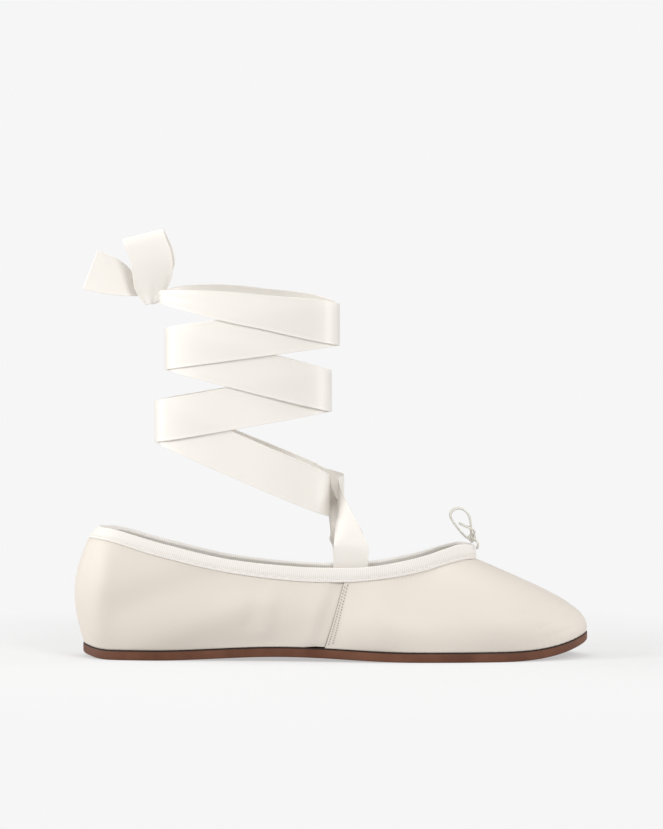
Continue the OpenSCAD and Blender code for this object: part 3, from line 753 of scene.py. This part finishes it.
def make_upper():
    s, e = SEAM_COLUMN, COLUMNS - SEAM_COLUMN
    # painted shade along the vamp's cut edges
    vamp = upper_layer("vamp_satin", -s, s, 0, SATIN_T, SATIN, (0.0, 0.5))
    put(vamp, "shoe", "satin", "vamp")
    dips = [(column, 3 * MID_DEPTH, TONGUE_REACH) for column in (s - TONGUE, e + TONGUE)]
    # painted shade on the quarter along the vamp's edge, where the vamp's step shades it
    quarter = upper_layer("quarter_satin", s - TONGUE, e + TONGUE, 0, SATIN_T, SATIN,
                          (TONGUE, 1.0), dips)
    put(quarter, "shoe", "satin", "quarter")
    for name, first, last in (("vamp_lining", -s, s), ("quarter_lining", s, e)):
        cloth = upper_layer(name + "_cloth", first, last, LINING_DEPTH, LINING_T, LINING,
                            rows=row_steps(32))
        put(cloth, "shoe", "lining", name)
    for name, first, last, top in STIFFENERS:
        stiff = upper_layer(name + "_board", first, last, MID_DEPTH, STIFFENER_T, BOARD,
                            rows=np.linspace(0, top, 4 * top + 1))
        put(stiff, "shoe", "board", name)


# ---- binding and stitches ----
COLLAR_ROW = 11  # the row whose normals the binding follows
TAPE_STEP = 0.02  # stations between its columns
SCALLOP_H, SCALLOP_PITCH = 0.04, 0.12
SEAM_STITCHES = 24  # in one row, from the sole to the binding
SEAM_ROWS = ((0.05, 0.0), (0.12, 0.5))  # stations from the seam, offset in stitches
STITCH_SHARE = 0.42  # a stitch's part of its pitch


def band(u, out, down):
    """A point out mm from the satin's face, down mm below the binding's upper edge."""
    t, b = high_edge(u), low_edge(u)
    n = skin_normals(u, np.full_like(u, float(COLLAR_ROW)))
    return t + (b - t) * (down / BIND_H) + n * out


def binding_section():
    """The folded tape's outer and inner faces: (out, down) from its front lower edge to
    its back one, drawn in a little along the stitches."""
    front, back = GAP + BIND_T, BACK_FACE - GAP - BIND_T
    near, far = GAP, BACK_FACE - GAP
    lips = [BIND_H - up for up in (0, 0.35, 0.8, 1.35, STITCH_UP, 1.85)] + [3.5]
    pulls = (-0.12, 0.06, 0, 0, -0.14, 0, 0.05)
    outer = [(front + pull, down) for pull, down in zip(pulls, lips)]
    outer += [(front, 0.9), (front - 0.12, 0.4), (front - 0.5, 0.08), (BACK_FACE / 2, 0),
              (back + 0.5, 0.08), (back + 0.12, 0.4), (back, 0.9), (back, 3.5), (back, BIND_H)]
    inner = [(near, down) for down in lips]
    inner += [(near, 1.1), (near - 0.1, 0.75), (near - 0.5, 0.56), (BACK_FACE / 2, 0.5),
              (far + 0.5, 0.56), (far + 0.1, 0.75), (far, 1.1), (far, 3.5), (far, BIND_H)]
    return outer, inner


def make_binding():
    u = np.arange(0, 2 * LAST, TAPE_STEP)
    outside, inside = (np.stack([band(u, o, d) for o, d in face], 1)
                       for face in binding_section())
    outside[:, 0, 2] += SCALLOP_H * np.sin(2 * np.pi * u / SCALLOP_PITCH)
    tape = closed_sheet("binding_tape", outside, inside, TAPE, ring=True)
    put(tape, "shoe", "binding", "topline_binding")

    starts = np.arange(0, 2 * LAST, COLUMN / 2)
    lift, down = GAP + BIND_T + THREAD_D / 2 + 0.04, BIND_H - STITCH_UP
    a, b = (band(starts + share * COLUMN, lift, down) for share in (0.06, 0.36))
    normals = skin_normals(starts, np.full_like(starts, float(COLLAR_ROW)))
    seam = stitches("binding_stitches", list(zip(a, b)), normals, THREAD)
    put(seam, "shoe", "thread", "binding_stitching")


def make_seam_stitches():
    pitch = 1 / SEAM_STITCHES
    t = np.arange(0.06, 0.95, pitch)
    for side, name in ((-1, "lateral_seam"), (1, "medial_seam")):
        pairs, normals = [], []
        middle = SEAM if side < 0 else 2 * LAST - SEAM
        for row, shift in SEAM_ROWS:
            u = np.full_like(t, middle + side * row)
            ends = [on_satin(u, t + shift * pitch + s * pitch) for s in (0.0, STITCH_SHARE)]
            pairs += zip(*ends)
            normals += list(skin_normals(u, wall_row(t)))
        obj = stitches(name + "_stitches", pairs, normals, SEAM_THREAD_PAINTED_SHADE)
        put(obj, "shoe", "thread", name + "_stitching")


def on_satin(u, t):
    """Points just above the satin, on its relief."""
    t = np.minimum(t, 0.98)
    u = straighten(u, t)
    lift = satin_relief(u, t) + THREAD_D / 2
    return wall(u, t) + skin_normals(u, wall_row(t)) * lift[:, None]


# ---- drawstring bow ----
CORD_STEPS = 5
CASING_DOWN = 1.2  # the drawstring below the binding's upper edge
BOW_KNOT = np.array([67.2, 0, 56.2])
# The routes of the lateral loop and end and of the medial lead; their twins are mirrored.
LOOP_ROUTE = [[64.8, -1.9, 56.7], [63.4, -2.4, 57.8], [60.9, -3.4, 60.6], [58.2, -4.2, 64.2],
              [56.9, -4.5, 67.2], [57.8, -4.5, 69.6], [60.6, -4.3, 70.8], [63.6, -3.9, 69.8],
              [65.8, -3.4, 67.0], [66.6, -2.9, 63.6], [66.6, -2.3, 60.6], [66.9, -1.4, 58.6]]
LOOP_ROOT = [66.4, -0.9, 56.0]
LEAD_ROUTE = [[69.6, 1.3, 51.2], [70.0, 1.4, 52.4], [70.1, 1.3, 53.8], [69.4, 0.9, 54.9],
              [68.4, 0.5, 55.6]]
END_ROUTE = [[68.0, -1.3, 58.3], [68.4, -2.6, 59.4], [67.6, -3.8, 60.6], [65.6, -4.0, 61.6],
             [63.2, -3.4, 62.5], [61.2, -2.8, 63.6]]


def cord_piece(name, route, side, body, node):
    """A piece of cord along a route or its mirror image, and its path."""
    path = smooth(np.array(route) * np.array([1, side, 1]), CORD_STEPS)
    return put(tube(name, path, CORD_D, CORD), body, "cord", node), path


def make_throat_bow():
    for side, label in ((1, "lateral"), (-1, "medial")):
        loop, path = cord_piece(label + "_cord_loop", [LOOP_ROOT] + LOOP_ROUTE, side,
                                "throat_bow", "drawstring_loops")
        cord_piece(label + "_cord_end", END_ROUTE, side, "throat_bow", "drawstring_ends")
    make_cord_knot()
    for side, label in ((1, "medial"), (-1, "lateral")):
        cord_piece(label + "_cord_lead", LEAD_ROUTE, side, "shoe", "drawstring")
    u = np.linspace(0, 2 * LAST, 400)
    channel = tube("cord_in_binding", band(u, BACK_FACE / 2, CASING_DOWN), CORD_D, CORD)
    put(channel, "shoe", "cord", "drawstring")


def make_cord_knot():
    """Two crossed turns of cord, drawn tight round the roots of the loops."""
    count = 150
    a = np.linspace(0, 2 * np.pi, count)
    turns = [BOW_KNOT + np.stack([1.25 * np.cos(a) + 0.35 * np.sin(2 * a),
                                  tilt * 0.85 * np.cos(a), 1.5 * np.sin(a) + rise], 1)
             for tilt, rise in ((1, 0.0), (-1, 0.25))]
    core = BOW_KNOT + np.stack([0.5 * np.sin(3 * a), 0.7 * np.cos(a),
                                np.linspace(-1.5, 2.3, count)], 1)
    for path, label in zip(turns + [core], ("turn", "cross_turn", "core")):
        put(tube("cord_knot_" + label, path, CORD_D * 1.1, CORD), "throat_bow", "cord",
            "drawstring_knot")


# ---- ankle ribbons ----
# Where the ribbons cross, in front and behind by turns: (x, z).
CROSSING = [[1.3, 77.0], [-84, 112.5], [-0.5, 127], [-79, 147], [3.3, 158.5], [-80.5, 172]]
# The layer of each ribbon at the start and on each half turn, 0 being the innermost.
LATERAL_LAYERS = [5, 4, 2, 2, 4, 0]
MEDIAL_LAYERS = [0, 1, 3, 3, 1, 5]
LAST_TURN = 4
MEDIAL_RAISE = 4  # the medial ribbon's extra height on the last half turn
SECTION_POWER = 0.74  # shape of the cuff in plan: 1 is an ellipse
TURN_STEPS = 20
MIDDLE_LAYER = 2.5  # the layer that lies on the cuff's stated size
SETTLE = 0.36  # share of a half turn over which a ribbon changes layer
TAPER = 0.68  # share of its width that the last half turn loses
TAPER_FROM = 0.22  # where on the last half turn it starts to narrow
TAPER_RUN = 0.72
LAST_END = 0.93  # where the last half turn ends
STEP_AFTER_RISE = 0.02  # shortest step from the rise to the first half turn
RIBBON_STEPS = 3  # points for each station
KNOT_AT = np.array([-85.5, 0, 172.8])
# Stations, here and for the bow: (middle, vector to the upper or front edge).
LATERAL_RISE = [
    [[9.0, -24.4, 43.0], [8.3, 0.2, 0]], [[9.0, -24.6, 48.0], [8.3, 0.2, 0]],
    [[9.2, -24.6, 53.0], [8.2, 0.4, 0.6]], [[7.4, -23.2, 58.4], [6.3, 1.4, 3.4]],
    [[5.3, -19.0, 64.0], [4.0, 2.2, 6.4]], [[3.6, -12.6, 69.6], [1.9, 1.8, 8.8]],
    [[3.0, -6.4, 74.0], [0.6, 0.8, 9.6]], [[3.3, 0, 76.4], [0, 0, 9.4]],
    [[5.0, 6.0, 77.7], [0, 0, 8.4]], [[6.0, 12.0, 78.8], [0, 0, 7.6]],
    [[3.9, 17.8, 79.4], [0, 0, 8.0]], [[-3.4, 22.8, 80.2], [0, 0, 9.2]]]
MEDIAL_RISE = [
    [[9.0, 24.4, 43.0], [8.3, -0.2, 0]], [[9.0, 24.6, 48.0], [8.3, -0.2, 0]],
    [[8.6, 23.9, 52.0], [8.0, -0.8, 1.4]], [[6.8, 21.6, 56.8], [6.9, -1.6, 4.0]],
    [[3.8, 18.0, 61.4], [4.8, -1.6, 6.4]], [[1.2, 13.2, 66.0], [1.6, -1.0, 8.2]],
    [[-0.2, 8.4, 70.8], [0.4, -0.3, 9.6]], [[-0.9, 4.0, 75.0], [0.1, 0, 10]]]

# The lateral ribbon's far end, from the last half turn into the knot; the CAD lacks it.
LATERAL_END = [
    [[-79.6, 5.7, 172.2], [0, 0, 3.0]], [[-82.0, 3.8, 172.7], [0, 0, 2.6]],
    [[-84.0, 2.4, 172.8], [0, 0, 2.2]]]


PLEAT_H = 0.45
SELVEDGE, CLOTH, HEM = 1.0, 0.72, 0.6  # shares of the ribbon's thickness
DRAWN_FROM = 0.93  # where along a wound ribbon its pleats begin
PINCH = 0.35  # share of a loop or tail over which its pleats fade


def layer_at(layers, h, f):
    """The layer at share f of half turn h."""
    own = layers[h + 1]
    before = (layers[h] + own) / 2
    after = (own + layers[h + 2]) / 2 if h + 2 < len(layers) else own
    if f < SETTLE:
        return before + (own - before) * ease(f / SETTLE)
    return after + (own - after) * ease((1 - f) / SETTLE) if f > 1 - SETTLE else own


def wound(layers, h, f, side):
    """A ribbon's middle at share f of half turn h, on that side of the ankle."""
    (ax, az), (bx, bz) = CROSSING[h], CROSSING[h + 1]
    grow = (layer_at(layers, h, f) - MIDDLE_LAYER) * LAYER_PITCH
    c, s = math.cos(math.pi * f), math.sin(math.pi * f)
    run = math.copysign(abs(c) ** SECTION_POWER, c)
    half = (ax - bx) / 2
    x = (ax + bx) / 2 + (half + math.copysign(grow, grow * half)) * run
    y = side * (CUFF_HALF_W + grow) * s ** SECTION_POWER
    high = MEDIAL_RAISE * max(0, side) * s if h == LAST_TURN else 0
    return np.array([x, y, az + (bz - az) * (1 - run) / 2 + high])


def ribbon_station(layers, h, f, first):
    """A ribbon's middle and its half width there, as a vector to its upper edge."""
    side = first if h % 2 == 0 else -first
    e = 0.004
    ahead, behind = min(f + e, 0.9995), max(f - e, 0.0005)
    t = unit(wound(layers, h, ahead, side) - wound(layers, h, behind, side))
    w = unit(np.cross(unit(np.array([t[1], -t[0], 0])), t))
    half = RIBBON_W / 2
    if h == LAST_TURN:
        half *= 1 - TAPER * float(ease((f - TAPER_FROM) / TAPER_RUN))
    return [wound(layers, h, f, side), w * np.sign(w[2]) * half]


def wound_stations(rise, meet, first, layers, end):
    """The same stations as the CAD ribbon, then those of its end, smoothed between them."""
    start = smooth(rise + [ribbon_station(layers, 0, meet, first)], RIBBON_STEPS)
    shares = [(k + 0.5) / TURN_STEPS for k in range(TURN_STEPS)]
    turns = [ribbon_station(layers, h, f, first) for h in range(LAST_TURN + 1) for f in shares
             if (h > 0 or f > meet + STEP_AFTER_RISE) and (h < LAST_TURN or f < LAST_END)]
    return smooth(np.concatenate([start, np.array(turns + end)]), RIBBON_STEPS)


def gathers(drawn, across):
    """Lengthwise pleats that grow where a ribbon is drawn together."""
    return PLEAT_H * drawn * np.sin(across * 11 + 0.7) * np.cos(across * 4)


def ribbon(name, stations, body, node, drawn=None):
    """A ribbon as a closed sheet with fine selvedges."""
    centre, half = stations[:, 0], stations[:, 1]
    side = [0.2, 0.4, 0.6, 0.8, 0.93, 0.95, 0.985, 1.0]
    across = np.array([-a for a in reversed(side)] + [0] + side)
    normal = unit(np.cross(np.gradient(centre, axis=0), half))
    if drawn is None:
        drawn = np.zeros(len(centre))
    pleat = np.stack([gathers(drawn, a) for a in across], 1)
    face = centre[:, None] + half[:, None] * across[None, :, None]
    face = face + normal[:, None] * pleat[..., None]
    thick = np.where(np.abs(across) > 0.94, SELVEDGE, CLOTH)
    thick[[0, -1]] = HEM
    off = normal[:, None] * (thick * RIBBON_T / 2)[None, :, None]
    obj = closed_sheet(name, face - off, face + off, RIBBON)
    put(obj, body, "ribbon", node)
    return obj


def make_wound_ribbons():
    for label, rise, meet, first, layers, end in (
            ("lateral", LATERAL_RISE, 0.3, 1, LATERAL_LAYERS, LATERAL_END),
            ("medial", MEDIAL_RISE, 0.04, -1, MEDIAL_LAYERS, [])):
        stations = wound_stations(rise, meet, first, layers, end)
        drawn = ease((np.linspace(0, 1, len(stations)) - DRAWN_FROM) / (1 - DRAWN_FROM))
        ribbon(label + "_ankle_ribbon", stations, "ankle_cuff", label + "_ribbon",
               drawn)


LOOP = [
    [[-85.4, -5.6, 168.6], [3.4, 0, 0.8]], [[-85.2, -6.0, 172.8], [6.2, 0, 1.5]],
    [[-85.0, -7.4, 178.2], [8.8, 0, 2.1]], [[-85.0, -8.8, 184.4], [9.6, 0, 2.3]],
    [[-86.0, -9.8, 191], [9.7, 0, 2.4]], [[-88.6, -9.8, 198.2], [9.7, 0, 2.4]],
    [[-89.8, -8.0, 201.6], [9.7, 0, 2.4]], [[-88.6, -6.4, 199.6], [9.7, 0, 2.4]],
    [[-85.4, -5.8, 192.6], [9.7, 0, 2.4]], [[-83.9, -5.6, 185.4], [9.4, 0, 2.3]],
    [[-84.2, -5.4, 179.6], [7.0, 0, 1.7]]]
LOOP_BEHIND = [
    [[-85.4, 5.4, 174.4], [3.2, 0, 0.8]], [[-84.8, 5.6, 180.4], [5.6, 0, 1.3]],
    [[-85.0, 6.0, 187], [8.2, 0, 2.0]], [[-86.8, 6.2, 193.6], [8.8, 0, 2.2]],
    [[-88.2, 7.2, 197.8], [8.8, 0, 2.2]], [[-88.0, 9.2, 196.8], [8.8, 0, 2.2]],
    [[-86.4, 10.0, 190.4], [8.4, 0, 2.0]], [[-85.4, 8.6, 183.6], [6.4, 0, 1.5]],
    [[-85.4, 7.0, 177.6], [4.2, 0, 1.0]]]
TAIL = [
    [[-91.8, -1.4, 176.6], [-1.0, 0, 4.4]], [[-96, -2.2, 179.4], [-1.6, 0.2, 7.2]],
    [[-101.5, -3.0, 181.2], [-0.8, 0.3, 8.8]], [[-108.5, -3.4, 182.9], [1.2, 0.2, 9.4]],
    [[-115.2, -3.2, 184.8], [3.6, 0, 9.2]]]
TAIL_BEHIND = [
    [[-91.7, 1.4, 176.2], [-0.9, 0, 4.0]], [[-95.8, 2.2, 178.8], [-1.5, -0.2, 6.6]],
    [[-101.0, 3.0, 180.6], [-0.8, -0.3, 8.1]], [[-107.8, 3.4, 182.6], [1.1, -0.2, 8.6]],
    [[-114.2, 3.2, 184.4], [3.3, 0, 8.5]]]


BOW_STEPS = 8
KNOT_HALF_LEN = 4.5
KNOT_SLACK = 0.5  # room for its creases below its full radius


def near_knot(count, both_ends):
    """1 where the ribbon is drawn into the knot, falling to 0 away from it."""
    s = np.linspace(0, 1, count)
    end = 1 - ease(s / PINCH)
    return np.maximum(end, 1 - ease((1 - s) / PINCH)) if both_ends else end


def make_ribbon_bow():
    for name, rows, body, node, both in (
            ("bow_loop_near", LOOP, "bow_loops", "ribbon_loops", True),
            ("bow_loop_behind", LOOP_BEHIND, "bow_loops", "ribbon_loops", True),
            ("bow_tail_near", TAIL, "bow_tails", "ribbon_tails", False),
            ("bow_tail_behind", TAIL_BEHIND, "bow_tails", "ribbon_tails", False)):
        stations = smooth(rows, BOW_STEPS)
        ribbon(name, stations, body, node,
               near_knot(len(stations), both))
    make_ribbon_knot()


def make_ribbon_knot():
    """A wrapped barrel of ribbon with creases round it and pinched ends."""
    n, m, half = 96, 40, KNOT_HALF_LEN
    a = np.linspace(0, 2 * np.pi, n, endpoint=False)[:, None]
    s = np.linspace(-1, 1, m)[None, :]
    body = np.sqrt(np.clip(1 - np.abs(s) ** 3.2, 0.0, 1))
    creases = 0.22 * np.sin(9 * s + 1.6 * np.sin(a)) + 0.14 * np.sin(17 * s + 2 * np.cos(2 * a))
    radius = (KNOT_R - KNOT_SLACK + creases) * body
    x = KNOT_AT[0] + radius * np.cos(a)
    z = KNOT_AT[2] + radius * np.sin(a)
    y = KNOT_AT[1] + half * s + 0.25 * np.sin(2 * a) * body
    points = np.stack([x, y + 0 * a, z], -1)
    faces = [(a, d, c, b) for a, b, c, d in ring_faces(n, m)]
    uv = np.stack([a * KNOT_R + 0 * s, half * s + 0 * a], -1).reshape(-1, 2)
    obj = make_mesh("bow_knot", points.reshape(-1, 3), faces, RIBBON, uv)
    weld(obj)
    put(face_outward(obj), "ankle_cuff", "ribbon", "ribbon_knot")


TAB_Y, TAB_HALF_W = 25.15, 8.3
TAB_Z = (32, 43.6)
TACK_LENGTH = 1.2  # one stitch of the box of stitches
BOX_X, BOX_Z = (1.9, 16.1), (33.2, 39.6)


def make_tabs():
    """The ribbons' sewn ends inside the shoe, with their box of stitches."""
    flat = [((x, z), (x + TACK_LENGTH, z)) for x in 2.4 + 2.4 * np.arange(6) for z in BOX_Z]
    tall = [((x, z), (x, z + TACK_LENGTH)) for z in 33.8 + 2.1 * np.arange(3) for x in BOX_X]
    pairs, normals = [], []
    for side, label in ((-1, "lateral"), (1, "medial")):
        rows = [[[9.0, side * TAB_Y, z], [TAB_HALF_W, 0, 0]] for z in np.linspace(*TAB_Z, 13)]
        ribbon(label + "_sewn_end", np.array(rows), "shoe", label + "_ribbon_tab")
        y = side * (TAB_Y - RIBBON_T / 2 - THREAD_D / 2 - 0.04)
        for (x0, z0), (x1, z1) in flat + tall:
            pairs.append((np.array([x0, y, z0]), np.array([x1, y, z1])))
            normals.append(np.array([0.0, -side, 0.0]))
    put(stitches("tack_stitches", pairs, normals, THREAD), "shoe", "thread",
        "ribbon_tack_stitching")


# ---- what keeps its CAD shape ----
def finish_cad_nodes():
    for name, material in (("bottom_filler", BOARD), ("insole_board", BOARD),
                           ("sock_lining", SOCK)):
        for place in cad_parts[name].material_slots:
            place.material = material


BOARD_SEAT = 0.1  # the insole board above the lasted margins
PAD_FROM = -45  # the pad's front edge, and how far back it reaches its thickness
PAD_RAMP = 12
PAD_INSET = 5.4
PAD_THINNEST = 0.12


def make_heel_pad():
    """The foam pad below the heel, thinning to the front."""
    stack = SATIN_T + STIFFENER_T + LINING_T + 3 * GAP
    base = stack + BOARD_SEAT + BOARD_T + GAP

    def low(x):
        return sole_high(x) + base

    def high(x):
        rise = PAD_T * np.clip((PAD_FROM - x) / PAD_RAMP, 0, 1)
        return low(x) + np.maximum(rise - GAP, PAD_THINNEST)

    u = np.linspace(8.7, LAST - 0.03, 90)
    rims = [lasting_xy(v) - outward(v) * PAD_INSET for v in (u, 2 * LAST - u)]
    across = np.linspace(0, 1, 25)[None, :, None]
    xy = rims[0][:, None] * (1 - across) + rims[1][:, None] * across
    top, bottom = (np.concatenate([xy, height(xy[..., :1])], -1) for height in (high, low))
    obj = closed_sheet("heel_pad", top, bottom, FOAM)
    put(obj, "shoe", "foam", "heel_cushion")


# ---- studio ----
BACKDROP = 0.922
FLOOR_HALF = 6.0
FLOOR_GLOW = 0.47
FLOOR_TONE = 0.34
SHADOW_REACH = (0.16, 0.34)  # metres over which the floor fades to the backdrop
WORLD_LIGHT = 0.46
WHITE = (1, 1, 1, 1)
# The lamps: name, place, size and power.
SOFTBOXES = (("key", (0.55, -1.1, 0.75), (0.45, 0.45), 8.5),
             ("fill", (-1.25, -0.5, 0.65), (0.45, 0.45), 10.5),
             ("top", (0.0, 0.0, 1.4), (0.9, 0.7), 6.0),
             ("left_rim", (-1.1, 0.25, 0.3), (0.25, 0.8), 4.5),
             ("right_rim", (1.2, 0.1, 0.35), (0.25, 0.7), 4.0))
AIM = (0, 0, 0.06)
LENS, SENSOR = 154.4, 36  # in mm, as is usual
EYE = (0, -1.7, 0.150)
LOOKING_DOWN = 1.16  # degrees


def make_floor():
    """A pale floor that takes a faint shadow near the shoe and is even further off."""
    s = FLOOR_HALF
    me = bpy.data.meshes.new("floor")
    me.from_pydata([(-s, -s, 0), (s, -s, 0), (s, s, 0), (-s, s, 0)], [], [(0, 1, 2, 3)])
    floor = add_object("floor", me)
    m = bpy.data.materials.new("floor_paper")
    g = Nodes(m)
    g.tree.nodes.clear()
    glow = g.node("Emission", Color=WHITE, Strength=FLOOR_GLOW)
    paper = g.node("BsdfDiffuse", Color=(*[FLOOR_TONE] * 3, 1))
    even = g.node("Emission", Strength=BACKDROP)
    reach = g.node("VectorMath", Vector=g.node("TexCoord").outputs["Object"])
    reach.operation = "LENGTH"
    fade = g.node("MapRange", Value=reach.outputs["Value"], From_Min=SHADOW_REACH[0],
                  From_Max=SHADOW_REACH[1])
    fade.interpolation_type = "SMOOTHSTEP"
    floor_light = g.joined("MixShader", g.joined("AddShader", glow, paper), even,
                           Fac=fade.outputs[0])
    g.node("OutputMaterial", Surface=floor_light.outputs[0])
    me.materials.append(m)


def make_world():
    """An even backdrop for the camera, and a dimmer, warmer light for everything else."""
    w = bpy.data.worlds.new("studio")
    bpy.context.scene.world = w
    g = Nodes(w)
    g.tree.nodes.clear()
    light = g.node("Background", Color=(1, 0.995, 0.985, 1), Strength=WORLD_LIGHT)
    seen = g.node("Background", Color=WHITE, Strength=BACKDROP)
    world_light = g.joined("MixShader", light, seen,
                           Fac=g.node("LightPath").outputs["Is Camera Ray"])
    g.node("OutputWorld", Surface=world_light.outputs[0])


def softbox(name, place, size, power):
    data = bpy.data.lights.new(name, "AREA")
    data.shape = "RECTANGLE"
    data.size, data.size_y = size
    data.energy = power
    lamp = add_object(name, data)
    lamp.location = place
    aim = Vector(AIM) - Vector(place)
    lamp.rotation_euler = aim.to_track_quat("-Z", "Y").to_euler()


def make_studio():
    make_floor()
    make_world()
    for lamp in SOFTBOXES:
        softbox(*lamp)
    camera = bpy.data.cameras.new("camera")
    camera.lens = LENS
    camera.sensor_width = SENSOR
    eye = add_object("camera", camera)
    eye.location = EYE
    eye.rotation_euler = (math.radians(90 - LOOKING_DOWN), 0, 0)
    bpy.context.scene.camera = eye
    bpy.context.scene.view_settings.view_transform = "Standard"


make_throat_bow()
make_sole()
make_upper()
make_binding()
make_seam_stitches()
make_heel_pad()
make_tabs()
make_wound_ribbons()
make_ribbon_bow()
finish_cad_nodes()
make_studio()
